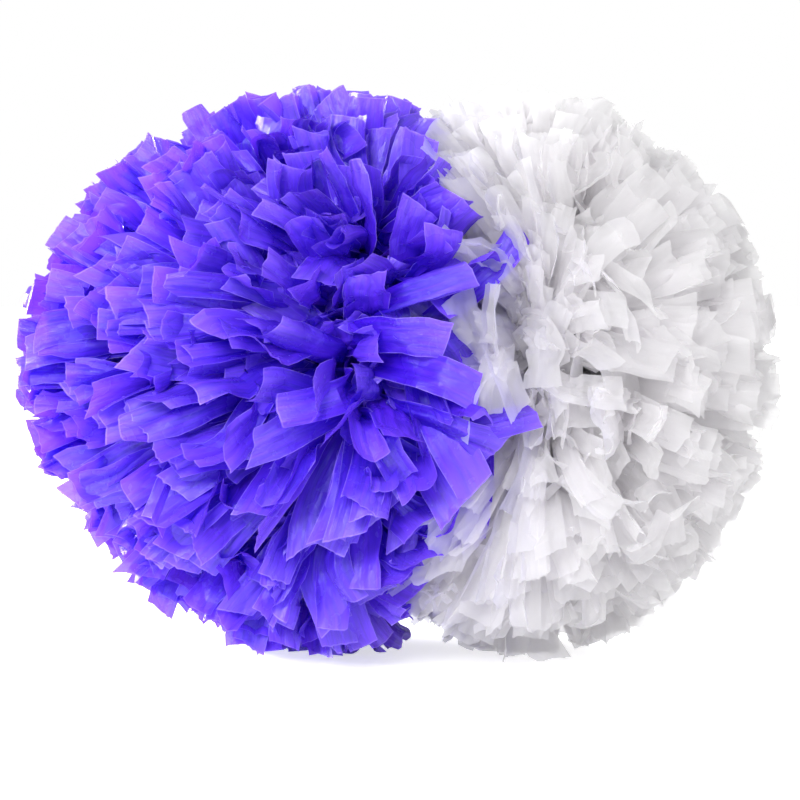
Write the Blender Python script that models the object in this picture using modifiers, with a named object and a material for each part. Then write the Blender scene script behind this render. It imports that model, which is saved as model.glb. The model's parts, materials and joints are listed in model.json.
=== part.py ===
"""A cheer pom pom on a baton handle.

A short plastic tube is the grip. Each of its ends has a plug, and a stack of slit plastic film is gathered over
the plug and tied there, so that its strips stand out all round as a ball of streamers. The left ball is violet
film and the right one is white film. The strips are grouped in packs, each a fan of strips that lie together.

Metres, +Z up. The grip lies along X and the hand comes in from the back, +Y. The origin is on the floor, under
the middle of the grip.
"""

import math

import bmesh
import bpy
from mathutils import Vector

# The ball of streamers
REACH_ACROSS = 0.155  # from the grip's axis out to the tips
REACH_ALONG = 0.146  # from the root of the streamers out along the grip's axis
ROOT_X = 0.054  # the point that each ball's streamers spread from
ROOT_RADIUS = 0.0246  # the packs start here, on the gathered film
AXIS_HEIGHT = 0.147  # less than the reach, so the lowest strips are pressed flat on the floor
TIP_STEP = 0.0018  # neighbouring strips differ in length by up to two of these steps
TIP_STEPS = 3

# The handle
TUBE_RADIUS = 0.011
TUBE_WALL = 0.002
TUBE_HALF = 0.046
FIT_GAP = 0.0003
SHANK_LENGTH = 0.018
FLANGE_RADIUS = 0.014
FLANGE_WIDTH = 0.002
GROOVE_RADIUS = 0.008
GROOVE_WIDTH = 0.0115
HEAD_RADIUS = 0.012
HEAD_LENGTH = 0.006
HEAD_ROUND = 0.0015
TAPE_WIDTH = 0.012
TAPE_THICKNESS = 0.0007

# The film gathered over the plug, and the tie round it
FILM_FLARE_RADIUS = 0.0228
FILM_WAIST_RADIUS = 0.0165
FILM_BULGE_RADIUS = 0.0212
FILM_DOME_X = 0.0235
FILM_WAIST_WIDTH = 0.0074
FILM_FLANK_WIDTH = 0.0100
FILM_FLANK_RISE = 0.0022
TIE_WIDTH = 0.0048
TIE_THICKNESS = 0.0013
TIE_CENTRE = 0.0025
TIE_HEAD = (0.0066, 0.0085, 0.0052)
TIE_TAIL = (0.0044, 0.0120, 0.0012)

SIDES = 32  # of each turned piece

# Each ring of packs: its name, the angle of its roots and of its tips from the grip's outward end, how many packs
# it has, and the part of a turn that it fills. Angles round the grip start at the back and go up.
FULL_TURN = (0, 360)
ROUND_THE_HAND = (50, 310)
STRAIGHT_DOWN = 270
RINGS = (
    ("end", 10, 10, 2, FULL_TURN),
    ("outer", 32, 32, 4, FULL_TURN),
    ("middle", 54, 55, 6, FULL_TURN),
    ("crown", 75, 78, 7, FULL_TURN),
    ("grip", 93, 103.3, 5, ROUND_THE_HAND),
)
PACK_FILL = 0.86  # the part of its place round the grip that a pack fills
ROOT_HALF_THICKNESS = 5.0  # degrees
TIP_HALF_THICKNESS = 7.3
CELLS = (6, 2, 3)  # across the pack, through it and along it

VIOLET = (0.135, 0.045, 0.83)
WHITE = (0.86, 0.86, 0.88)
CHARCOAL = (0.035, 0.032, 0.036)
NATURAL_NYLON = (0.78, 0.77, 0.72)
TAPE_WHITE = (0.74, 0.74, 0.73)


def clear_scene():
    for thing in list(bpy.data.objects):
        bpy.data.objects.remove(thing, do_unlink=True)


def new_collection(name):
    group = bpy.data.collections.new(name)
    bpy.context.scene.collection.children.link(group)
    return group


def new_material(name, colour, roughness):
    material = bpy.data.materials.new(name)
    material.use_nodes = True
    shader = material.node_tree.nodes["Principled BSDF"]
    shader.inputs["Base Color"].default_value = (*colour, 1)
    shader.inputs["Roughness"].default_value = roughness
    shader.inputs["Metallic"].default_value = 0
    return material


def new_axis(name, x, group):
    """An empty on the grip's axis, which pieces that turn about it are parented to."""
    axis = bpy.data.objects.new(name, None)
    axis.location = (x, 0, AXIS_HEIGHT)
    axis.empty_display_size = 0.02
    group.objects.link(axis)
    return axis


def new_piece(name, mesh, material, axis, group):
    piece = bpy.data.objects.new(name, mesh)
    piece.parent = axis
    mesh.materials.append(material)
    group.objects.link(piece)
    return piece


def turned_piece(name, profile, side, material, axis, group):
    """Turns a profile of (distance along the grip, radius) points about the grip's axis.

    The distances grow outward on the given side, and the profile starts at the outward end.
    """
    mesh = bpy.data.meshes.new(name)
    points = [(radius, 0, along) for along, radius in profile]
    edges = [(i, i + 1) for i in range(len(points) - 1)]
    if profile[0][1] > 0:
        edges.append((len(points) - 1, 0))
    mesh.from_pydata(points, edges, [])
    piece = new_piece(name, mesh, material, axis, group)
    piece.rotation_euler = (0, side * math.pi / 2, 0)
    screw = piece.modifiers.new("turn", "SCREW")
    screw.axis = "Z"
    screw.angle = 2 * math.pi
    screw.steps = SIDES
    screw.render_steps = SIDES
    screw.use_merge_vertices = True
    screw.merge_threshold = 0.00001
    screw.use_smooth_shade = True
    return piece


def ring_profile(start, end, inner, outer):
    return [(end, outer), (start, outer), (start, inner), (end, inner)]


def make_tube(material, axis, group):
    profile = ring_profile(-TUBE_HALF, TUBE_HALF, TUBE_RADIUS - TUBE_WALL, TUBE_RADIUS)
    return turned_piece("handle_tube", profile, 1, material, axis, group)


def make_plug(name, side, material, axis, group):
    """A shank inside the tube, a flange against its end, a groove for the film and a rounded head."""
    flange_start = TUBE_HALF + FIT_GAP
    groove_start = flange_start + FLANGE_WIDTH
    head_start = groove_start + GROOVE_WIDTH
    head_end = head_start + HEAD_LENGTH
    shank_radius = TUBE_RADIUS - TUBE_WALL - FIT_GAP
    profile = [
        (head_end, 0),
        (head_end, HEAD_RADIUS - 2 * HEAD_ROUND),
        (head_end - HEAD_ROUND, HEAD_RADIUS - HEAD_ROUND / 3),
        (head_end - 2 * HEAD_ROUND, HEAD_RADIUS),
        (head_start, HEAD_RADIUS),
        (head_start, GROOVE_RADIUS),
        (groove_start, GROOVE_RADIUS),
        (groove_start, FLANGE_RADIUS),
        (flange_start, FLANGE_RADIUS),
        (flange_start, shank_radius),
        (TUBE_HALF - SHANK_LENGTH, shank_radius),
        (TUBE_HALF - SHANK_LENGTH, 0),
    ]
    return turned_piece(name, profile, side, material, axis, group)


def make_tape(name, side, material, axis, group):
    inner = TUBE_RADIUS + FIT_GAP
    start = TUBE_HALF - TAPE_WIDTH
    profile = ring_profile(start, TUBE_HALF, inner, inner + TAPE_THICKNESS)
    return turned_piece(name, profile, side, material, axis, group)


def make_film_web(name, side, material, axis, group):
    """The uncut middle of the film stack, gathered over the plug's head and drawn in under the tie."""
    plug_groove = TUBE_HALF + FIT_GAP + FLANGE_WIDTH - ROOT_X
    head_start = plug_groove + GROOVE_WIDTH
    head_end = head_start + HEAD_LENGTH
    inboard = plug_groove + 2 * FIT_GAP
    outside = [
        (FILM_DOME_X, 0),
        (FILM_DOME_X - 0.0012, 0.45 * FILM_BULGE_RADIUS),
        (FILM_DOME_X - 0.0050, 0.80 * FILM_BULGE_RADIUS),
        (FILM_DOME_X - 0.0125, FILM_BULGE_RADIUS),
        (TIE_CENTRE + FILM_FLANK_WIDTH / 2, FILM_WAIST_RADIUS + FILM_FLANK_RISE),
        (TIE_CENTRE + FILM_WAIST_WIDTH / 2, FILM_WAIST_RADIUS),
        (TIE_CENTRE - FILM_WAIST_WIDTH / 2, FILM_WAIST_RADIUS),
        (TIE_CENTRE - FILM_FLANK_WIDTH / 2, FILM_WAIST_RADIUS + FILM_FLANK_RISE),
        (inboard, FILM_FLARE_RADIUS),
    ]
    inside = [
        (inboard, GROOVE_RADIUS + FIT_GAP),
        (head_start - FIT_GAP, GROOVE_RADIUS + FIT_GAP),
        (head_start - FIT_GAP, HEAD_RADIUS + FIT_GAP),
        (head_end + FIT_GAP, HEAD_RADIUS + FIT_GAP),
        (head_end + FIT_GAP, 0),
    ]
    return turned_piece(name, outside + inside, side, material, axis, group)


def cutter_box(name, size, centre, axis, cutters):
    mesh = bpy.data.meshes.new(name)
    build = bmesh.new()
    bmesh.ops.create_cube(build, size=1)
    bmesh.ops.scale(build, vec=size, verts=build.verts)
    bmesh.ops.translate(build, vec=centre, verts=build.verts)
    build.to_mesh(mesh)
    build.free()
    box = bpy.data.objects.new(name, mesh)
    box.parent = axis
    box.hide_render = True
    box.display_type = "WIRE"
    cutters.objects.link(box)
    return box


def make_cable_tie(name, side, material, axis, group, cutters):
    """A strap drawn tight round the film, with its locking head on top and the end of its tail cut short."""
    inner = FILM_WAIST_RADIUS + FIT_GAP
    strap = ring_profile(
        TIE_CENTRE - TIE_WIDTH / 2, TIE_CENTRE + TIE_WIDTH / 2, inner, inner + TIE_THICKNESS
    )
    tie = turned_piece(name, strap, side, material, axis, group)
    middle = side * TIE_CENTRE
    head_height = inner + TIE_THICKNESS / 2 + TIE_HEAD[2] / 2
    tail_height = inner + TIE_THICKNESS + TIE_TAIL[2]
    extras = {
        "head": (TIE_HEAD, (middle, 0, head_height)),
        "tail": (TIE_TAIL, (middle, -TIE_TAIL[1] / 2, tail_height)),
    }
    for extra, (size, centre) in extras.items():
        joined = tie.modifiers.new(extra, "BOOLEAN")
        joined.operation = "UNION"
        joined.object = cutter_box(f"{name}_{extra}_block", size, centre, axis, cutters)
    return tie


def block_of_cells(cells):
    """A cube from -1 to 1, cut into the given number of equal cells along each axis."""
    build = bmesh.new()
    bmesh.ops.create_cube(build, size=2)
    for axis, count in enumerate(cells):
        for cut in range(1, count):
            place = Vector((0, 0, 0))
            place[axis] = 2 * cut / count - 1
            normal = Vector((0, 0, 0))
            normal[axis] = 1
            everything = build.verts[:] + build.edges[:] + build.faces[:]
            bmesh.ops.bisect_plane(build, geom=everything, dist=1e-6, plane_co=place, plane_no=normal)
    return build


def on_ball(side, from_end, round_grip, distance):
    """A point measured from the streamers' root, with distance 0 at the root and 1 at the ball's surface."""
    tilt = math.radians(from_end)
    turn = math.radians(round_grip)
    across = distance * REACH_ACROSS * math.sin(tilt)
    along = distance * REACH_ALONG * math.cos(tilt)
    return Vector((side * along, across * math.cos(turn), across * math.sin(turn)))


def tip_shortening(across, through):
    """How much shorter than the longest the strips are at this corner of a pack's end."""
    column = round(abs(across) / 2 * CELLS[0])
    row = round((through + 1) / 2 * CELLS[1])
    return TIP_STEP * ((2 * column + row) % TIP_STEPS)


def make_pack(name, side, ring, number, material, axis, group):
    """One fan of strips, from the gathered film out to the square-cut tips."""
    _, root_angle, tip_angle, count, (first, last) = ring
    pitch = (last - first) / count
    middle = first + pitch * (number + 0.5)
    if (first, last) == FULL_TURN:
        middle = STRAIGHT_DOWN + pitch * number
    half_turn = PACK_FILL * pitch / 2
    root_distance = ROOT_RADIUS / REACH_ALONG
    build = block_of_cells(CELLS)
    for corner in build.verts:
        across, through, along = corner.co
        out = (along + 1) / 2
        centre = root_angle + (tip_angle - root_angle) * out
        half = ROOT_HALF_THICKNESS + (TIP_HALF_THICKNESS - ROOT_HALF_THICKNESS) * out
        reach = 1 - out * tip_shortening(across, through) / REACH_ACROSS
        distance = root_distance + (reach - root_distance) * out
        corner.co = on_ball(side, centre + through * half, middle + across * half_turn, distance)
    press_on_floor(build)
    bmesh.ops.recalc_face_normals(build, faces=build.faces)
    mesh = bpy.data.meshes.new(name)
    build.to_mesh(mesh)
    build.free()
    return new_piece(name, mesh, material, axis, group)


def press_on_floor(build):
    """Cuts off what would reach below the floor and closes the cut with one flat face."""
    everything = build.verts[:] + build.edges[:] + build.faces[:]
    cut = bmesh.ops.bisect_plane(
        build,
        geom=everything,
        dist=1e-6,
        plane_co=(0, 0, -AXIS_HEIGHT),
        plane_no=(0, 0, -1),
        clear_outer=True,
    )
    edges = [piece for piece in cut["geom_cut"] if isinstance(piece, bmesh.types.BMEdge)]
    if edges:
        bmesh.ops.edgeloop_fill(build, edges=edges)


def make_streamers(prefix, side, film, axis, group):
    for ring in RINGS:
        for number in range(ring[3]):
            name = f"{prefix}_streamers_{ring[0]}_{number + 1}"
            material = new_material(f"{name}_film", film, 0.35)
            make_pack(name, side, ring, number, material, axis, group)


def build_pom_pom():
    clear_scene()
    parts = new_collection("cheer_pom_pom")
    cutters = new_collection("cutters")
    grip_axis = new_axis("grip_axis", 0, parts)
    make_tube(new_material("handle_tube", CHARCOAL, 0.45), grip_axis, parts)
    for prefix, side, film in (("left", -1, VIOLET), ("right", 1, WHITE)):
        plug = new_material(f"{prefix}_end_plug", CHARCOAL, 0.5)
        make_plug(f"{prefix}_end_plug", side, plug, grip_axis, parts)
        tape = new_material(f"{prefix}_binding_tape", TAPE_WHITE, 0.4)
        make_tape(f"{prefix}_binding_tape", side, tape, grip_axis, parts)
        lobe_axis = new_axis(f"{prefix}_lobe_axis", side * ROOT_X, parts)
        web = new_material(f"{prefix}_film_web", film, 0.4)
        make_film_web(f"{prefix}_film_web", side, web, lobe_axis, parts)
        tie = new_material(f"{prefix}_cable_tie", NATURAL_NYLON, 0.4)
        make_cable_tie(f"{prefix}_cable_tie", side, tie, lobe_axis, parts, cutters)
        make_streamers(prefix, side, film, lobe_axis, parts)


build_pom_pom()
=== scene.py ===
"""The looks of a cheer pom pom: two balls of satin film streamers tied to the ends of a baton grip.

Every streamer is a strip of thin film with its own bend, twist, folds and cut end. Metres, +Z up.
The grip lies along X, the front is -Y, and the hand comes in from the back.
"""

import json
import math

import bpy
import numpy as np
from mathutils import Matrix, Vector


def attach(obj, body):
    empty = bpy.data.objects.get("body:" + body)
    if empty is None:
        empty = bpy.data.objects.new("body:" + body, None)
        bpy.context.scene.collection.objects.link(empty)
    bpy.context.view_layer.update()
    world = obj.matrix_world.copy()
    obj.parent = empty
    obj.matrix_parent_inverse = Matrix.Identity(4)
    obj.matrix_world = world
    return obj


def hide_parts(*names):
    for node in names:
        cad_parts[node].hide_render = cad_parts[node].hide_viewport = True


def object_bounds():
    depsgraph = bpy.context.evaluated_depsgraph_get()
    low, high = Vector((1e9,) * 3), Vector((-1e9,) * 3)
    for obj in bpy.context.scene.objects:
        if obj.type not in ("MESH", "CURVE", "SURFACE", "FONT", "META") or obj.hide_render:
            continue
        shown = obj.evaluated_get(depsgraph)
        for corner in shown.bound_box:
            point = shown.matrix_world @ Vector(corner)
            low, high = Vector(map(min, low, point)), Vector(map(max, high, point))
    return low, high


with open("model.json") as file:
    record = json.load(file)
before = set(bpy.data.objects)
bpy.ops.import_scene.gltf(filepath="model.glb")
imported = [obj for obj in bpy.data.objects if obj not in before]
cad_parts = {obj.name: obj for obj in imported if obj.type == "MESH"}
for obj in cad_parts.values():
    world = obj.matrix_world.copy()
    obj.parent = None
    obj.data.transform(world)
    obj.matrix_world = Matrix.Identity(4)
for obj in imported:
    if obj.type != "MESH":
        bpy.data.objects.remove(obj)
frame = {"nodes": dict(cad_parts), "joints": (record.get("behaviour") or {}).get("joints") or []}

cad_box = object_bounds()

# The film strips
STRIP_WIDTH = 0.019
STRIP_LENGTH = 0.138  # from the tie to the cut end
ALONG_CELLS = 26
ACROSS_CELLS = 12
ALONG = np.linspace(0, 1, ALONG_CELLS + 1)[None, :, None]  # the rows of points, from the tie to the cut end
ACROSS = np.linspace(-0.5, 0.5, ACROSS_CELLS + 1)[None, None, :]  # the points of each row, side to side

# The balls: where the strips spread from, and how far their ends reach, from the CAD
ROOTS = {joint["child"]: np.array(joint["pos_m"]) for joint in frame["joints"]}
AXIS_HEIGHT = ROOTS["left_lobe"][2]
INSIDE_CAD = 0.995  # the share of the CAD's reach that the ends keep to
REACH_ACROSS = (cad_box[1].z - AXIS_HEIGHT) * INSIDE_CAD
REACH_ALONG = (cad_box[1].x - ROOTS["right_lobe"][0]) * INSIDE_CAD
REACH = np.array([REACH_ALONG, REACH_ACROSS, REACH_ACROSS])
ROOT_RADIUS = 0.019  # where the strips leave the tie
WIDEST_ANGLE = math.radians(117)  # of the ends from the grip's outward direction
WIDEST_CLUMP = math.radians(113)  # the same for the clumps' middles
WIDEST_START = -0.07  # the strips leave the tie at most this far inboard, so the hand has room
GOLDEN_ANGLE = math.pi * (3 - math.sqrt(5))
SCATTER = 0.05  # how far each strip strays from its even place, in radians
STAND_OUT = 0.025  # the share of the reach by which an end may stand out of the ball
LIFT = 0.007  # the lowest film bends over the floor within this height

# The way in for the hand, kept clear at the back
HAND_HALF_WIDTH = 0.036
HAND_HALF_HEIGHT = 0.034

# The strips at the front are combed sideways and up, most of all at the middle
COMB_SIDEWAYS = 0.036
COMB_UP = 0.019
COMB_CENTRE_X = -0.012
COMB_SPREAD = 0.105
COMB_SPREAD_OVER_WHITE = 0.078
COMB_UP_SPREAD = (0.11, 0.07)  # along X and up

# Neighbouring strips cling together in clumps
CLUMPS_PER_BALL = 120
CLUMP_PULL = 0.40  # the share of the way that each strip is drawn to its clump's middle
CLUMP_ROLL = 0.30

# Most strips face the front, and more of those at the back turn their flat side out or up
SIDE_FACING = 0.06
SIDE_FACING_AT_BACK = 0.45

# How far the strips reach, as shares of the ball's own reach
FULL_SHARE = 0.66  # of all strips
FULL_REACH = (0.975, 1.0)
FILLING_REACH = (0.74, 0.90)  # of the short strips in a parting
LOW_CORNER = (-0.62, -0.1, -0.78)  # where the violet ball is pressed in
PRESSED_IN = 0.10
OVERLAP = (-0.45, -1.0, 0.0)  # where the violet spills over the white ball
COVERED = 0.13

# How the strips bend between the tie and the cut end
OPENING = math.radians(17)
CURLED_SHARE = 0.35
CURL = 0.022
DROOP = (0.006, 0.008)  # its mean and its spread
WANDER = 0.0055
ROLL = 0.28
TWIST = 0.6

# The film's pleats, waves and folds
TIGHT_PLEAT = 1.38  # the slope of the pleats at the tie, in radians
STEEPEST_PLEAT = 1.42
CURVE = 0.80
CREASED_SHARE = 0.6
CREASE = 0.7
WAVES = ((0.060, 1.0), (0.031, 0.6), (0.019, 0.5), (0.012, 0.35))  # length and share of the depth
BENT_SHARE = 0.55
SLIGHT_BEND = 0.6
SHARP_FOLD = 1.9
END_SLANT = 0.28
NOTCHED_SHARE = 0.15
TORN_SHARE = 0.12
SMOOTH_ANGLE = math.radians(32)

# How each ball's strips lie. Reaches are shares of the ball's own, angles in radians and lengths in metres
BALLS = {
    "left": {
        "side": -1,
        "slot": "violet_film",
        "seed": 11,
        "strips": 1400,
        "shortest": 0.70,
        "front": (0.24, -1.0, 0.15),  # where the parting faces
        "parting": math.radians(8.0),
        "filling": 0.30,  # the share of short strips in the parting
        "bloom": 0.62,  # how far the strips next to the parting bend away from it
        "bloom_from": 0.72,  # the cosine of the angle from the parting within which they do
        "bloom_power": 1.0,  # more than 1 leaves most of them nearly straight
        "layering": 0.009,  # how unevenly the clumps droop
        "pleat": 0.90,
        "ripple": 0.00075,
        "ruffle": 0.0020,
        "ragged": 0.00020,
        "folded": 0.14,
    },
    "right": {
        "side": 1,
        "slot": "white_film",
        "seed": 12,
        "strips": 1600,
        "shortest": 0.85,
        "front": (-0.24, -1.0, 0.10),
        "parting": 0.0,
        "filling": 0.75,
        "bloom": 0.95,
        "bloom_from": 0.50,
        "bloom_power": 0.8,
        "layering": 0.005,
        "pleat": 0.90,
        "ripple": 0.00120,
        "ruffle": 0.0022,
        "ragged": 0.00035,
        "folded": 0.20,
    },
}

# The painted highlight on the cut edges of a strip, as shares of its width and of its length, and its
# strength and that of the painted light on the strip's end
SIDE_EDGE = 0.015
END_EDGE = 0.0035
EDGE_PAINTED_HIGHLIGHT = 0.55
END_PAINTED_LIGHT = 0.26

# The two films: the dark colour of the streaks and of the painted shade deep in the ball, the colour on the
# face, the colour of the painted highlight at the cut edges, and of light that comes through
FILMS = {
    "violet_film": {
        "streak_and_painted_shade": (0.012, 0.001, 0.48),
        "face": (0.136, 0.020, 1.0),
        "painted_light_colour": (0.46, 0.29, 1.0),
        "glow": (0.22, 0.045, 1.0),
        "through_share": 0.22,
        "clear_share": 0.04,
        "clear_shadows": False,
        "crinkle": 0.0022,
        "painted_crinkle_shade": 0.35,
    },
    "white_film": {
        "streak_and_painted_shade": (0.90, 0.89, 0.90),
        "face": (0.985, 0.98, 1.0),
        "painted_light_colour": (1.0, 1.0, 1.0),
        "glow": (0.99, 0.98, 0.99),
        "through_share": 0.74,
        "clear_share": 0.36,
        "clear_shadows": True,
        "crinkle": 0.0035,
        "painted_crinkle_shade": 0.8,
    },
}

# The uncut film over the plug: distance outward from the strips' root and radius
BUNDLE_PROFILE = (
    (0.0235, 0.0004), (0.0223, 0.0095), (0.0185, 0.0170), (0.0110, 0.0212), (0.0075, 0.0187),
    (0.0062, 0.0165), (-0.0012, 0.0165), (-0.0025, 0.0187), (-0.0051, 0.0228),
)
BUNDLE_ROWS = 40
BUNDLE_PLEATS = 44
POINTS_PER_PLEAT = 6
BUNDLE_PLEAT_DEPTH = 0.10

# A few long strips flop over the other colour at the front: where each one ends, and which way it ends
STRAYS = {
    "left": (
        ((0.039, -0.130, 0.146), (0.9, 0.2, -0.5)),
        ((0.066, -0.122, 0.136), (1.0, 0.3, 0.3)),
        ((0.048, -0.126, 0.117), (1.0, 0.2, -0.6)),
        ((0.034, -0.130, 0.206), (1.0, 0.1, 0.35)),
        ((0.024, -0.130, 0.171), (0.8, 0.2, -0.15)),
        ((0.022, -0.132, 0.095), (0.7, 0.2, -0.8)),
        ((0.005, -0.136, 0.104), (0.5, 0.1, -0.9)),
        ((0.026, -0.112, 0.062), (0.5, 0.3, -0.9)),
    ),
    "right": (
        ((0.049, -0.132, 0.128), (0.05, 0.1, -1.0)),
        ((0.039, -0.131, 0.137), (-0.3, 0.1, -1.0)),
        ((0.058, -0.136, 0.137), (0.5, 0.0, -1.0)),
        ((0.070, -0.134, 0.150), (0.1, 0.0, -1.0)),
        ((0.107, -0.132, 0.147), (1.0, 0.1, -0.10)),
        ((0.032, -0.124, 0.192), (-0.5, 0.1, 0.8)),
        ((0.046, -0.130, 0.198), (0.1, 0.0, 1.0)),
    ),
}
STRAY_PLEAT = 1.6
STRAY_ROLL = 0.9
STRAY_FACING = (0.0, -1.0, 0.25)
STRAY_BEND = 0.065  # how far from the tie a stray turns to the front
STRAY_TAIL = 0.048  # how much of a stray lies the way that it ends

# The hard pieces, by the end of their names: material, colour, worn colour and roughness
FINISHES = {
    "handle_tube": ("charcoal_plastic", (0.030, 0.028, 0.032), (0.055, 0.052, 0.056), 0.38),
    "end_plug": ("plug_plastic", (0.040, 0.038, 0.042), (0.060, 0.058, 0.062), 0.45),
    "binding_tape": ("vinyl_tape", (0.76, 0.76, 0.75), (0.66, 0.65, 0.62), 0.30),
    "cable_tie": ("natural_nylon", (0.80, 0.79, 0.74), (0.72, 0.70, 0.64), 0.32),
}

# The camera and the studio
CAMERA_DISTANCE = 1.25
CAMERA_ELEVATION = math.radians(4)
CAMERA_TARGET = Vector((0.0013, 0, 0.134))
VIEW_WIDTH = 0.424  # what the camera sees at its target
SENSOR_WIDTH = 36
FLOOR_HALF = 6
FLOOR_GREY = 0.88
FLOOR_GLOW = 0.62
SKY = 0.53
SKY_BEHIND = 0.47  # added where the camera sees it
LAMPS = {  # place, power and size
    "key": ((-0.5, -1.5, 0.9), 28, 0.6),
    "fill": ((1.3, -1.2, 0.4), 6, 0.4),
    "left_rim": ((-1.3, 0.8, 0.5), 80, 0.8),
}


def unit(vectors):
    length = np.linalg.norm(vectors, axis=-1, keepdims=True)
    return vectors / np.maximum(length, 1e-9)


def dot(a, b):
    return (a * b).sum(-1, keepdims=True)


def smooth_step(value, low, high):
    x = np.clip((value - low) / (high - low), 0, 1)
    return x * x * (3 - 2 * x)


def turn_about(arms, axis, angle):
    """Turns arms about unit axes."""
    return (
        arms * np.cos(angle)
        + np.cross(np.broadcast_to(axis, arms.shape), arms) * np.sin(angle)
        + axis * dot(axis, arms) * (1 - np.cos(angle))
    )


def ball_directions(side, count, widest, random):
    """Directions spread evenly over one ball, as far round as the other ball allows."""
    place = np.arange(count) + 0.5
    from_end = np.arccos(1 - place / count * (1 - math.cos(widest)))
    from_end = np.clip(from_end + random.normal(0, SCATTER, count), 0, widest)
    turn = place * GOLDEN_ANGLE + random.normal(0, SCATTER, count)
    along = side * np.cos(from_end)
    return np.stack([along, np.sin(from_end) * np.cos(turn), np.sin(from_end) * np.sin(turn)], axis=1)


def part_front(directions, front, parting):
    """Draws the strips that would point straight forward away from the parting."""
    lean = np.arccos(np.clip(dot(directions, front), -1, 1))
    parted = np.where(lean < math.pi / 2, np.hypot(lean, parting * np.cos(lean)), lean)
    aside = unit(directions - dot(directions, front) * front)
    return np.cos(parted) * front + np.sin(parted) * aside


def clear_of_hand(directions, side):
    """Which strips stay out of the way in for the hand, at the back."""
    tips = directions * REACH
    inboard = np.abs(side * ROOTS["right_lobe"][0] + tips[:, 0]) < HAND_HALF_WIDTH
    behind = (tips[:, 1] > 0) & (np.abs(tips[:, 2]) < HAND_HALF_HEIGHT)
    return ~(inboard & behind)


def facing_axes(directions, front, random):
    """The axis that each clump turns its flat side towards: mostly front and back, some up or out."""
    count = len(directions)
    behind = directions[:, 1] > 0.15
    outward = np.abs(directions[:, 0]) > np.abs(directions[:, 2])
    aside = np.where(outward, 1, 2)
    aside_share = np.where(behind, SIDE_FACING_AT_BACK, SIDE_FACING)
    choice = np.where(random.random(count) < aside_share, aside, 0)
    facings = np.array([front, (1.0, 0.0, 0.0), (0.0, 0.0, 1.0)])
    return facings[choice] + random.normal(0, 0.16, (count, 3))


def plan_strips(look, random):
    """Each strip's direction, the axis that it faces, its clump's roll and droop, and its reach.

    Some strips at the parting are short, and fill it.
    """
    side = look["side"]
    front = unit(np.array(look["front"]))
    centres = ball_directions(side, CLUMPS_PER_BALL, WIDEST_CLUMP, random)
    clump_axes = facing_axes(centres, front, random)
    clump_rolls = random.normal(0, CLUMP_ROLL, len(centres))
    clump_reaches = random.uniform(0.97, 1.005, len(centres))
    clump_droops = random.normal(0, look["layering"], len(centres))
    directions = ball_directions(side, look["strips"], WIDEST_ANGLE, random)
    clump = np.argmax(directions @ centres.T, axis=1)
    directions = unit(directions + CLUMP_PULL * (centres[clump] - directions))
    directions = part_front(directions, front, look["parting"])
    kept = clear_of_hand(directions, side)
    directions, clump = directions[kept], clump[kept]
    axes = clump_axes[clump] + random.normal(0, 0.10, directions.shape)
    reaches = strip_reaches(directions, look, random) * clump_reaches[clump, None]
    at_parting = smooth_step(dot(directions, front), 0.72, 0.93)
    filling = random.random(reaches.shape) < look["filling"] * at_parting
    reaches = np.where(filling, reaches * random.uniform(*FILLING_REACH, reaches.shape), reaches)
    return {
        "directions": directions,
        "axes": axes,
        "rolls": clump_rolls[clump, None, None],
        "droops": clump_droops[clump, None, None],
        "reaches": reaches,
    }


def comb(points):
    """Combs the front and the top of both balls sideways, so that the violet spills over the middle."""
    x, y, z = points[..., 0], points[..., 1], points[..., 2]
    height = z - AXIS_HEIGHT
    front = smooth_step(-y + 0.6 * height, -0.01, 0.065)
    band = smooth_step(height, -0.15, -0.02) * (1 - 0.5 * smooth_step(height, 0.045, 0.13))
    spread = np.where(x < COMB_CENTRE_X, COMB_SPREAD, COMB_SPREAD_OVER_WHITE)
    sideways = COMB_SIDEWAYS * np.exp(-(((x - COMB_CENTRE_X) / spread) ** 2)) * band
    upward = COMB_UP * np.exp(-((height / COMB_UP_SPREAD[1]) ** 2) - (x / COMB_UP_SPREAD[0]) ** 2)
    shift = np.stack([sideways, np.zeros_like(x), upward], axis=-1)
    return points + shift * front[..., None]


def strip_reaches(directions, look, random):
    """How far each strip reaches: most to the ball's surface, the rest bent or cut shorter.

    The violet ball is pressed in at its low outer corner, and the white one where the violet spills over it.
    """
    count = len(directions)
    full = random.random(count) < FULL_SHARE
    full_reach = random.uniform(*FULL_REACH, count)
    reach = np.where(full, full_reach, random.uniform(look["shortest"], FULL_REACH[0], count))
    pressed = smooth_step(directions @ unit(np.array(LOW_CORNER)), 0.75, 1.0)
    covered = smooth_step(directions @ unit(np.array(OVERLAP)), 0.86, 0.99) * (look["side"] > 0)
    return (reach * (1 - PRESSED_IN * pressed) * (1 - COVERED * covered))[:, None]


def centre_lines(root, plan, look, random):
    """Each strip's middle line: out of the tie, opening away from the axis that it faces, to its cut end."""
    directions, side = plan["directions"], look["side"]
    count = len(directions)
    axes = unit(plan["axes"])
    pole = axes * np.sign(dot(axes, directions))
    lean = dot(pole, directions)
    opening = OPENING * np.sin(2 * np.arccos(np.clip(lean, -1, 1)))
    to_pole = unit(pole - lean * directions)
    start = unit(directions + np.tan(opening) * to_pole + random.normal(0, 0.05, (count, 3)))
    start[:, 0] = side * np.maximum(side * start[:, 0], WIDEST_START)
    start = unit(start)
    tip = root + directions * REACH * plan["reaches"]
    first = root + start * ROOT_RADIUS
    second = first + start * STRIP_LENGTH * random.uniform(0.42, 0.6, (count, 1))
    t = ALONG
    line = (1 - t) ** 2 * first[:, None] + 2 * t * (1 - t) * second[:, None] + t**2 * tip[:, None]
    curled = random.random((count, 1, 1)) < CURLED_SHARE
    droop = plan["droops"] + random.normal(*DROOP, (count, 1, 1))
    droop = droop + curled * random.uniform(0.0, CURL, (count, 1, 1))
    line -= to_pole[:, None] * droop * t**3
    line += wander(directions, random)
    return bloom(line, root, plan, lean, to_pole, look, random)


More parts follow.
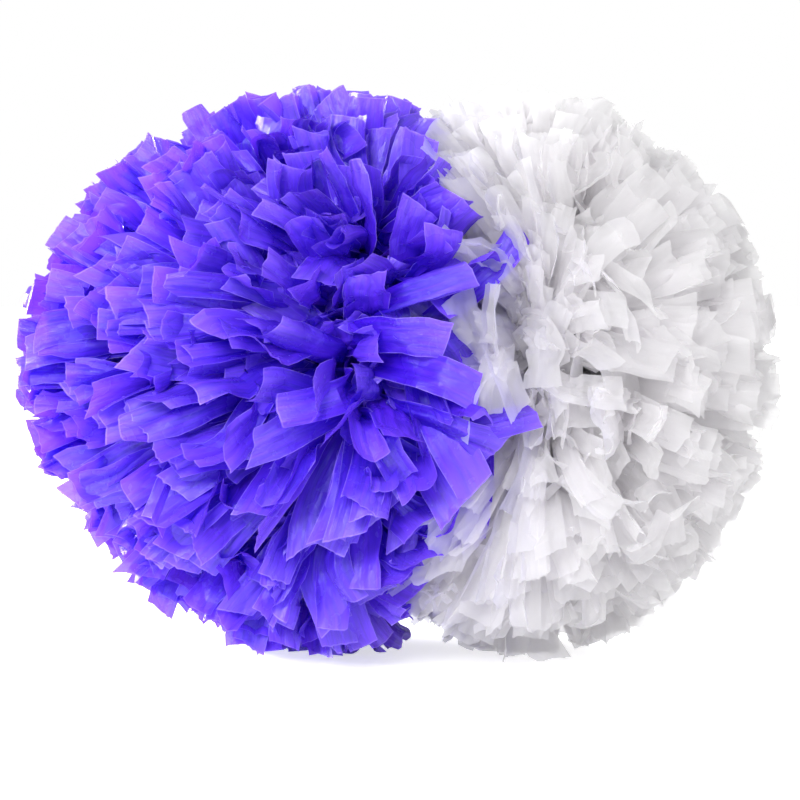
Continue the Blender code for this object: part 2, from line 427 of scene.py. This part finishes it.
def bloom(line, root, plan, lean, to_pole, look, random):
    """Bends the strips next to the parting away from it, most of all those towards the white side."""
    directions = plan["directions"]
    long_strips = smooth_step(plan["reaches"], 0.84, 0.92)
    near_parting = (smooth_step(lean, look["bloom_from"], 0.95) * long_strips)[:, None]
    to_white = smooth_step(directions[:, :1], -0.05, 0.30)[:, None]
    chance = random.random((len(directions), 1, 1)) ** look["bloom_power"]
    bend = look["bloom"] * near_parting * (0.4 + 0.6 * to_white) * chance
    hinge = unit(np.cross(to_pole, directions))[:, None]
    return root + turn_about(line - root, hinge, bend * ALONG**1.8)


def wander(directions, random):
    """The slow bends of each strip to either side, growing towards its free end."""
    count = len(directions)
    aside = unit(np.cross(directions, random.normal(0, 1, (count, 3))))[:, None]
    size = random.normal(0, WANDER, (count, 1, 1))
    waves = random.uniform(0.7, 1.9, (count, 1, 1))
    phase = random.uniform(0, 2 * math.pi, (count, 1, 1))
    return aside * size * (np.sin(2 * math.pi * waves * ALONG + phase) - np.sin(phase)) * ALONG**1.5


def stray_lines(prefix, root):
    """The middle lines of the strips that flop over the other colour."""
    lines = []
    t = ALONG[0]
    for end, heading in STRAYS[prefix]:
        end = np.array(end)
        rise = end[2] - heading[2] * 0.04 - AXIS_HEIGHT
        start = unit(np.array([0.35 * (end[0] - root[0]), -0.12, rise]))
        first = root + start * ROOT_RADIUS
        second = first + start * STRAY_BEND
        third = end - unit(np.array(heading)) * STRAY_TAIL
        lines.append(
            (1 - t) ** 3 * first + 3 * t * (1 - t) ** 2 * second + 3 * t**2 * (1 - t) * third + t**3 * end
        )
    return np.array(lines)


def strip_frames(lines, axes, clump_rolls, random):
    """Along, across and out of each strip's face, at each point of its middle line."""
    count = len(lines)
    along = unit(np.gradient(lines, axis=1))
    across = unit(np.cross(axes[:, None], along))
    out = np.cross(along, across)
    twist = random.normal(0, TWIST, (count, 1, 1)) * (ALONG - 0.6)
    roll = clump_rolls + random.normal(0, ROLL, (count, 1, 1)) + twist
    turned = np.cos(roll) * across + np.sin(roll) * out
    return along, turned, np.cross(along, turned)


def strip_sections(count, pleat, random):
    """Each strip's cross-section along its length: tight pleats at the tie that open to shallow ones."""
    u = ((np.arange(ACROSS_CELLS) + 0.5) / ACROSS_CELLS)[None, None, :]
    pleats = random.uniform(1.3, 3.2, (count, 1, 1))
    phase = random.uniform(0, 2 * math.pi, (count, 1, 1))
    zigzag = np.tanh(2.2 * np.sin(2 * math.pi * pleats * u + phase))
    opened = random.uniform(0.08, pleat, (count, 1, 1)) * (1.2 - ALONG)
    depth = TIGHT_PLEAT * (1 - smooth_step(ALONG, 0.05, 0.85)) + opened
    curve = random.normal(0, CURVE, (count, 1, 1)) * (2 * u - 1) * smooth_step(ALONG, 0.1, 0.6)
    crease_at = random.uniform(0.2, 0.8, (count, 1, 1))
    creased = random.random((count, 1, 1)) < CREASED_SHARE
    turned = random.uniform(-CREASE, CREASE, (count, 1, 1)) * np.sign(u - crease_at)
    crease = creased * turned * smooth_step(ALONG, 0.1, 0.4)
    slope = np.clip(zigzag * depth, -STEEPEST_PLEAT, STEEPEST_PLEAT) + curve + crease
    step = STRIP_WIDTH / ACROSS_CELLS
    edge = np.zeros((count, ALONG_CELLS + 1, 1))
    sideways = np.concatenate([edge, np.cumsum(np.cos(slope) * step, axis=2)], axis=2)
    rise = np.concatenate([edge, np.cumsum(np.sin(slope) * step, axis=2)], axis=2)
    return sideways - sideways.mean(axis=2, keepdims=True), rise - rise.mean(axis=2, keepdims=True)


def ripples(count, depth, ruffle, random):
    """Fine waves of the thin film, out of its face, and wider ones along its two edges."""
    t = ALONG * STRIP_LENGTH
    v = ACROSS * STRIP_WIDTH
    wave = np.zeros((count, ALONG_CELLS + 1, ACROSS_CELLS + 1))
    for length, share in WAVES:
        heading = random.uniform(-1.5, 1.5, (count, 1, 1))
        phase = random.uniform(0, 2 * math.pi, (count, 1, 1))
        wave += share * np.sin(2 * math.pi * (t + heading * v) / length + phase)
    edge_length = random.uniform(0.016, 0.036, (count, 1, 1))
    edge_phase = random.uniform(0, 2 * math.pi, (count, 1, 1))
    edge_wave = np.sin(2 * math.pi * t / edge_length + edge_phase + 130 * v) * (2 * v / STRIP_WIDTH) ** 2
    return wave * depth + edge_wave * ruffle * random.uniform(0.2, 1.0, (count, 1, 1))


def fold(points, along, across, share, sharpest, random):
    """Bends the outer part of some strips over a straight line across them."""
    count, rows, columns, _ = points.shape
    row = random.integers(round(rows * 0.45), rows - 3, count)
    strips = np.arange(count)
    slant = random.normal(0, 0.55, (count, 1))
    angle = np.where(random.random(count) < share, random.uniform(0.25, sharpest, count), 0)
    angle = angle * random.choice([-1, 1], count)
    axis = unit(np.cos(slant) * across[strips, row] + np.sin(slant) * along[strips, row])
    centre = points[strips, row, columns // 2]
    distance = (np.arange(rows)[None, :] - row[:, None]) * STRIP_LENGTH / (rows - 1)
    v = ACROSS[0, 0] * STRIP_WIDTH
    beyond = distance[:, :, None] * np.cos(slant)[..., None] - v * np.sin(slant)[..., None] > 0
    arms = points - centre[:, None, None]
    bent = centre[:, None, None] + turn_about(arms, axis[:, None, None], angle[:, None, None, None])
    return np.where(beyond[..., None], bent, points)


def cut_ends(points, along, ragged, random):
    """Cuts each strip's end across, a little slanting, notched and ragged."""
    count, _, columns, _ = points.shape
    v = np.linspace(-1, 1, columns)
    slant = random.normal(0, END_SLANT, (count, 1)) * v
    notched = random.random((count, 1)) < NOTCHED_SHARE
    notch_depth = random.uniform(0.05, 0.30, (count, 1))
    notch = notched * notch_depth * np.abs(v - random.uniform(-0.4, 0.4, (count, 1)))
    torn = (random.random((count, columns)) < TORN_SHARE) * random.uniform(0, 5, (count, columns))
    cut = (slant + notch) * STRIP_WIDTH / 2 + ragged * (random.normal(0, 0.5, (count, columns)) + torn)
    points[:, -1] += cut[..., None] * along[:, -1, None]


def hold_in(points, root):
    """Draws the ends that stand out of the ball back to its surface."""
    arms = points - root
    out = np.linalg.norm(arms / REACH, axis=-1, keepdims=True)
    held = np.where(out > 1, 1 + STAND_OUT * np.tanh((out - 1) / STAND_OUT), out)
    return root + arms * held / np.maximum(out, 1e-9)


def press_on_floor(points):
    """Bends the lowest film over the floor."""
    z = points[..., 2]
    points[..., 2] = np.where(z < LIFT, LIFT * np.exp(np.minimum(z - LIFT, 0) / LIFT), z)


def make_strips(lines, axes, clump_rolls, pleats, look, random):
    """The points of every strip, as [strip, along, across, xyz]."""
    count = len(lines)
    along, across, out = strip_frames(lines, axes, clump_rolls, random)
    sideways, rise = strip_sections(count, pleats, random)
    rise = rise + ripples(count, look["ripple"], look["ruffle"], random) * smooth_step(ALONG, 0.15, 0.5)
    points = lines[:, :, None] + sideways[..., None] * across[:, :, None] + rise[..., None] * out[:, :, None]
    cut_ends(points, along, look["ragged"], random)
    points = fold(points, along, across, BENT_SHARE, SLIGHT_BEND, random)
    return fold(points, along, across, look["folded"], SHARP_FOLD, random)


def strips_mesh(name, points, tones):
    """One mesh of many strips, with a UV map across and along each strip and a tone for each strip."""
    count, rows, columns, _ = points.shape
    index = np.arange(count * rows * columns).reshape(count, rows, columns)
    corners = [index[:, :-1, :-1], index[:, :-1, 1:], index[:, 1:, 1:], index[:, 1:, :-1]]
    faces = np.stack(corners, axis=-1).reshape(-1, 4)
    mesh = bpy.data.meshes.new(name)
    mesh.from_pydata(points.reshape(-1, 3).tolist(), [], faces.tolist())
    u, v = np.meshgrid(np.linspace(0, 1, columns), np.linspace(0, 1, rows))
    uv = np.broadcast_to(np.stack([u, v], axis=-1), (count, rows, columns, 2)).reshape(-1, 2)
    layer = mesh.uv_layers.new(name="film")
    layer.data.foreach_set("uv", uv[faces.reshape(-1)].reshape(-1))
    tone = mesh.attributes.new("tone", "FLOAT", "POINT")
    tone.data.foreach_set("value", np.repeat(tones, rows * columns).astype(np.float32))
    mesh.shade_smooth()
    mesh.set_sharp_from_angle(angle=SMOOTH_ANGLE)
    return mesh


def pack_centres(prefix, root):
    """The direction of each of a ball's packs of streamers from the ball's root."""
    centres = {}
    for node, piece in frame["nodes"].items():
        if node.startswith(f"{prefix}_streamers"):
            corners = np.array([corner.co for corner in piece.data.vertices])
            centres[node] = unit(corners.mean(axis=0) - root)
    return centres


def ball_strips(prefix, root, look, random):
    """The points of one ball's strips, with each one's direction and its share of the full length."""
    plan = plan_strips(look, random)
    lines = centre_lines(root, plan, look, random)
    strays = stray_lines(prefix, root)
    count = len(strays)
    lines = np.concatenate([lines, strays])
    directions = np.concatenate([plan["directions"], unit(strays[:, -1] - root)])
    axes = np.concatenate([plan["axes"], np.tile(STRAY_FACING, (count, 1))])
    rolls = np.concatenate([plan["rolls"], random.uniform(-STRAY_ROLL, STRAY_ROLL, (count, 1, 1))])
    lengths = np.concatenate([plan["reaches"][:, 0], np.ones(count)])
    pleats = np.full((len(lines), 1, 1), look["pleat"])
    pleats[-count:] = STRAY_PLEAT
    points = make_strips(lines, axes, rolls, pleats, look, random)
    points[:-count] = comb(hold_in(points[:-count], root))
    press_on_floor(points)
    return points, directions, lengths


def make_ball(prefix, material):
    """One ball, each of its strips in the piece of the CAD pack that lies nearest."""
    look = BALLS[prefix]
    random = np.random.default_rng(look["seed"])
    root = ROOTS[f"{prefix}_lobe"]
    points, directions, lengths = ball_strips(prefix, root, look, random)
    tones = random.random(len(directions))
    centres = pack_centres(prefix, root)
    nearest = np.argmax(directions @ np.array(list(centres.values())).T, axis=1)
    for number, node in enumerate(centres):
        own = nearest == number
        name = f"{node}_film"
        piece = bpy.data.objects.new(name, strips_mesh(name, points[own], tones[own]))
        piece.data.materials.append(material)
        bpy.context.scene.collection.objects.link(piece)
        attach(piece, f"{prefix}_lobe")
        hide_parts(node)


def make_bundle(prefix, material):
    """The uncut middle of the film, pleated over the plug and drawn in under the tie."""
    along, radius = np.array(BUNDLE_PROFILE).T
    place = np.linspace(0, 1, BUNDLE_ROWS)
    stops = np.linspace(0, 1, len(along))
    x = ROOTS[f"{prefix}_lobe"][0] + BALLS[prefix]["side"] * np.interp(place, stops, along)
    r = np.interp(place, stops, radius)
    turn = np.linspace(0, 2 * math.pi, BUNDLE_PLEATS * POINTS_PER_PLEAT, endpoint=False)
    pleat = np.abs(np.sin(turn * BUNDLE_PLEATS / 2 + 0.6 * np.sin(3 * turn)))
    r = r[:, None] * (1 - BUNDLE_PLEAT_DEPTH * pleat)
    points = np.stack([np.repeat(x[:, None], len(turn), 1), r * np.cos(turn), r * np.sin(turn)], axis=-1)
    points[..., 2] += AXIS_HEIGHT
    index = np.arange(BUNDLE_ROWS * len(turn)).reshape(BUNDLE_ROWS, len(turn))
    beside = np.roll(index, -1, axis=1)
    faces = np.stack([index[:-1], beside[:-1], beside[1:], index[1:]], axis=-1).reshape(-1, 4)
    mesh = bpy.data.meshes.new(f"{prefix}_film_bundle")
    mesh.from_pydata(points.reshape(-1, 3).tolist(), [], faces.tolist())
    mesh.shade_smooth()
    mesh.materials.append(material)
    bundle = bpy.data.objects.new(f"{prefix}_film_bundle", mesh)
    bpy.context.scene.collection.objects.link(bundle)
    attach(bundle, f"{prefix}_lobe")
    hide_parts(f"{prefix}_film_web")


class Nodes:
    """A short way to build a material's nodes."""

    def __init__(self, name):
        self.material = bpy.data.materials.new(name)
        self.material.use_nodes = True
        self.tree = self.material.node_tree
        self.shader = self.tree.nodes["Principled BSDF"]
        self.output = self.tree.nodes["Material Output"]

    def add(self, kind, settings=None, **inputs):
        node = self.tree.nodes.new(kind)
        for key, value in (settings or {}).items():
            setattr(node, key, value)
        for key, value in inputs.items():
            self.feed(value, node.inputs[key.replace("_", " ")])
        return node

    def feed(self, value, socket):
        if isinstance(value, bpy.types.NodeSocket):
            self.tree.links.new(value, socket)
        else:
            socket.default_value = value

    def math(self, operation, *values):
        node = self.add("ShaderNodeMath", {"operation": operation})
        for socket, value in zip(node.inputs, values):
            self.feed(value, socket)
        return node.outputs[0]

    def mix(self, factor, a, b):
        node = self.add("ShaderNodeMix", {"data_type": "RGBA"})
        self.feed(factor, node.inputs[0])
        self.feed(a, node.inputs[6])
        self.feed(b, node.inputs[7])
        return node.outputs[2]

    def blend_shaders(self, share, main_shader, other_shader):
        node = self.add("ShaderNodeMixShader", Fac=share)
        self.feed(main_shader.outputs[0], node.inputs[1])
        self.feed(other_shader.outputs[0], node.inputs[2])
        return node


def film_relief(nodes, uv, tone):
    """Streaks along each strip, and the flat facets between its crinkles, different on every strip."""
    offset = nodes.math("MULTIPLY", tone, 37.0)
    shifted = nodes.add("ShaderNodeCombineXYZ", X=offset, Y=offset).outputs[0]
    moved = nodes.add("ShaderNodeVectorMath", {"operation": "ADD"})
    nodes.feed(uv, moved.inputs[0])
    nodes.feed(shifted, moved.inputs[1])
    place = nodes.add("ShaderNodeMapping", Vector=moved.outputs[0], Scale=(3.2, 1.0, 1)).outputs[0]
    streaks = nodes.add("ShaderNodeTexNoise", Vector=place, Scale=3.0, Detail=6.0, Roughness=0.7)
    place = nodes.add("ShaderNodeMapping", Vector=moved.outputs[0], Scale=(4, 13, 1)).outputs[0]
    bent = nodes.add("ShaderNodeTexNoise", Vector=place, Scale=0.8, Detail=2.0).outputs["Color"]
    facets = nodes.add("ShaderNodeTexVoronoi", Vector=nodes.mix(0.25, place, bent), Scale=1.3)
    return streaks.outputs["Fac"], facets.outputs["Distance"]


def film_colour(nodes, film, uv, tone, streaks, facets):
    """Painted shade: deep towards the tie and lighter outward, with streaks, painted shading of the
    crinkles, a painted highlight at the cut edges and painted light on the end.
    """
    split = nodes.add("ShaderNodeSeparateXYZ", Vector=uv)
    across, along = split.outputs["X"], split.outputs["Y"]
    crisp = nodes.math("MULTIPLY_ADD", streaks, 3.4, -1.2)
    # painted shade of the crinkles: the facets darken the colour along the streaks
    painted_crinkle_shading = nodes.math("MULTIPLY", facets, nodes.math("MULTIPLY", crisp, film["painted_crinkle_shade"]))
    varied = nodes.math("ADD", nodes.math("MULTIPLY", tone, 0.40), nodes.math("MULTIPLY", crisp, 0.65))
    varied = nodes.math("ADD", varied, painted_crinkle_shading)
    # painted shade: the colour is darkest at the tie, where the strips shade each other, and lightens
    # towards the cut end
    outward = nodes.math("MULTIPLY_ADD", nodes.math("POWER", along, 2.5), 0.85, 0.20)
    colour = nodes.mix(nodes.math("MULTIPLY", varied, outward), (*film["streak_and_painted_shade"], 1), (*film["face"], 1))
    from_middle = nodes.math("ABSOLUTE", nodes.math("SUBTRACT", across, 0.5))
    # painted highlight along the cut edges
    side_edge = nodes.math("GREATER_THAN", from_middle, 0.5 - SIDE_EDGE)
    end_edge = nodes.math("GREATER_THAN", along, 1 - END_EDGE)
    edge = nodes.math("MULTIPLY", nodes.math("MAXIMUM", side_edge, end_edge), EDGE_PAINTED_HIGHLIGHT)
    # painted light on the end of each strip, growing paler towards the cut
    painted_light_at_end = nodes.math("MULTIPLY", nodes.math("POWER", along, 8.0), END_PAINTED_LIGHT)
    return nodes.mix(nodes.math("MAXIMUM", edge, painted_light_at_end), colour, (*film["painted_light_colour"], 1))


def film_material(name):
    """Thin satin film, lit from both sides."""
    film = FILMS[name]
    nodes = Nodes(name)
    uv = nodes.add("ShaderNodeUVMap", {"uv_map": "film"}).outputs["UV"]
    tone = nodes.add("ShaderNodeAttribute", {"attribute_name": "tone"}).outputs["Fac"]
    place = nodes.add("ShaderNodeTexCoord").outputs["Object"]
    streaks, facets = film_relief(nodes, uv, tone)
    nodes.feed(film_colour(nodes, film, uv, tone, streaks, facets), nodes.shader.inputs["Base Color"])
    clouds = nodes.add("ShaderNodeTexNoise", Vector=place, Scale=90.0, Detail=3.0).outputs["Fac"]
    nodes.feed(nodes.math("MULTIPLY_ADD", clouds, 0.25, 0.13), nodes.shader.inputs["Roughness"])
    nodes.shader.inputs["Specular IOR Level"].default_value = 0.6
    relief = nodes.math("MULTIPLY_ADD", streaks, 0.7, facets)
    bump = nodes.add("ShaderNodeBump", Height=relief, Strength=0.6, Distance=film["crinkle"])
    nodes.feed(bump.outputs[0], nodes.shader.inputs["Normal"])
    through = nodes.add("ShaderNodeBsdfTranslucent", Color=(*film["glow"], 1))
    lit = nodes.blend_shaders(film["through_share"], nodes.shader, through)
    clear = nodes.add("ShaderNodeBsdfTransparent")
    whole = nodes.blend_shaders(film["clear_share"], lit, clear)
    nodes.feed(whole.outputs[0], nodes.output.inputs["Surface"])
    nodes.material.use_transparent_shadow = film["clear_shadows"]
    return nodes.material


def plastic_material(name, colour, worn, roughness):
    """Moulded plastic with a fine grain and faint handling marks."""
    nodes = Nodes(name)
    place = nodes.add("ShaderNodeTexCoord").outputs["Object"]
    grain = nodes.add("ShaderNodeTexNoise", Vector=place, Scale=1400.0, Detail=2.0).outputs["Fac"]
    marks = nodes.add("ShaderNodeTexNoise", Vector=place, Scale=60.0, Detail=5.0).outputs["Fac"]
    nodes.feed(nodes.mix(marks, (*colour, 1), (*worn, 1)), nodes.shader.inputs["Base Color"])
    rough = nodes.math("MULTIPLY_ADD", marks, 0.2, roughness)
    nodes.feed(rough, nodes.shader.inputs["Roughness"])
    bump = nodes.add("ShaderNodeBump", Height=grain, Strength=0.15, Distance=0.0004)
    nodes.feed(bump.outputs[0], nodes.shader.inputs["Normal"])
    return nodes.material


def finish_cad_pieces():
    """Gives each hard piece that stays from the CAD its own finish."""
    finishes = {ending: plastic_material(*finish) for ending, finish in FINISHES.items()}
    for node, piece in frame["nodes"].items():
        for ending, material in finishes.items():
            if node.endswith(ending):
                piece.data.materials.clear()
                piece.data.materials.append(material)


def make_camera():
    """The camera, a little above the middle of the front."""
    camera = bpy.data.objects.new("camera", bpy.data.cameras.new("camera"))
    bpy.context.scene.collection.objects.link(camera)
    bpy.context.scene.camera = camera
    back = Vector((0, -math.cos(CAMERA_ELEVATION), math.sin(CAMERA_ELEVATION)))
    camera.location = CAMERA_TARGET + CAMERA_DISTANCE * back
    camera.rotation_euler = (math.pi / 2 - CAMERA_ELEVATION, 0, 0)
    camera.data.sensor_width = SENSOR_WIDTH
    camera.data.lens = SENSOR_WIDTH * CAMERA_DISTANCE / VIEW_WIDTH


def make_stage():
    """A plain white floor."""
    mesh = bpy.data.meshes.new("floor")
    corners = [(-1, -1), (1, -1), (1, 1), (-1, 1)]
    mesh.from_pydata([(x * FLOOR_HALF, y * FLOOR_HALF, 0) for x, y in corners], [], [(0, 1, 2, 3)])
    floor = bpy.data.objects.new("floor", mesh)
    bpy.context.scene.collection.objects.link(floor)
    nodes = Nodes("floor")
    seen = nodes.add("ShaderNodeLightPath").outputs["Is Camera Ray"]
    nodes.shader.inputs["Base Color"].default_value = (FLOOR_GREY, FLOOR_GREY, FLOOR_GREY, 1)
    nodes.shader.inputs["Roughness"].default_value = 0.9
    nodes.shader.inputs["Specular IOR Level"].default_value = 0.1
    nodes.shader.inputs["Emission Color"].default_value = (1, 1, 1, 1)
    nodes.feed(nodes.math("MULTIPLY", seen, FLOOR_GLOW), nodes.shader.inputs["Emission Strength"])
    mesh.materials.append(nodes.material)


def make_sky():
    """Even white light from all round, brighter where it is the backdrop."""
    world = bpy.data.worlds.new("studio")
    world.use_nodes = True
    tree = world.node_tree
    background = tree.nodes["Background"]
    background.inputs["Color"].default_value = (1, 1, 1, 1)
    seen = tree.nodes.new("ShaderNodeLightPath")
    strength = tree.nodes.new("ShaderNodeMath")
    strength.operation = "MULTIPLY_ADD"
    strength.inputs[1].default_value = SKY_BEHIND
    strength.inputs[2].default_value = SKY
    tree.links.new(seen.outputs["Is Camera Ray"], strength.inputs[0])
    tree.links.new(strength.outputs[0], background.inputs["Strength"])
    bpy.context.scene.world = world


def make_lamps():
    """Soft lamps that face the middle of the object."""
    for name, (place, power, size) in LAMPS.items():
        light = bpy.data.objects.new(name, bpy.data.lights.new(name, "AREA"))
        light.data.energy = power
        light.data.size = size
        light.location = place
        aim = Vector((0, 0, 0.15)) - Vector(place)
        light.rotation_euler = aim.to_track_quat("-Z", "Y").to_euler()
        bpy.context.scene.collection.objects.link(light)
    bpy.context.scene.view_settings.view_transform = "Standard"
    bpy.context.scene.cycles.diffuse_bounces = 6
    bpy.context.scene.cycles.max_bounces = 12


def main():
    make_camera()
    finish_cad_pieces()
    for prefix, look in BALLS.items():
        film = film_material(look["slot"])
        make_bundle(prefix, film)
        make_ball(prefix, film)
    make_stage()
    make_sky()
    make_lamps()


main()
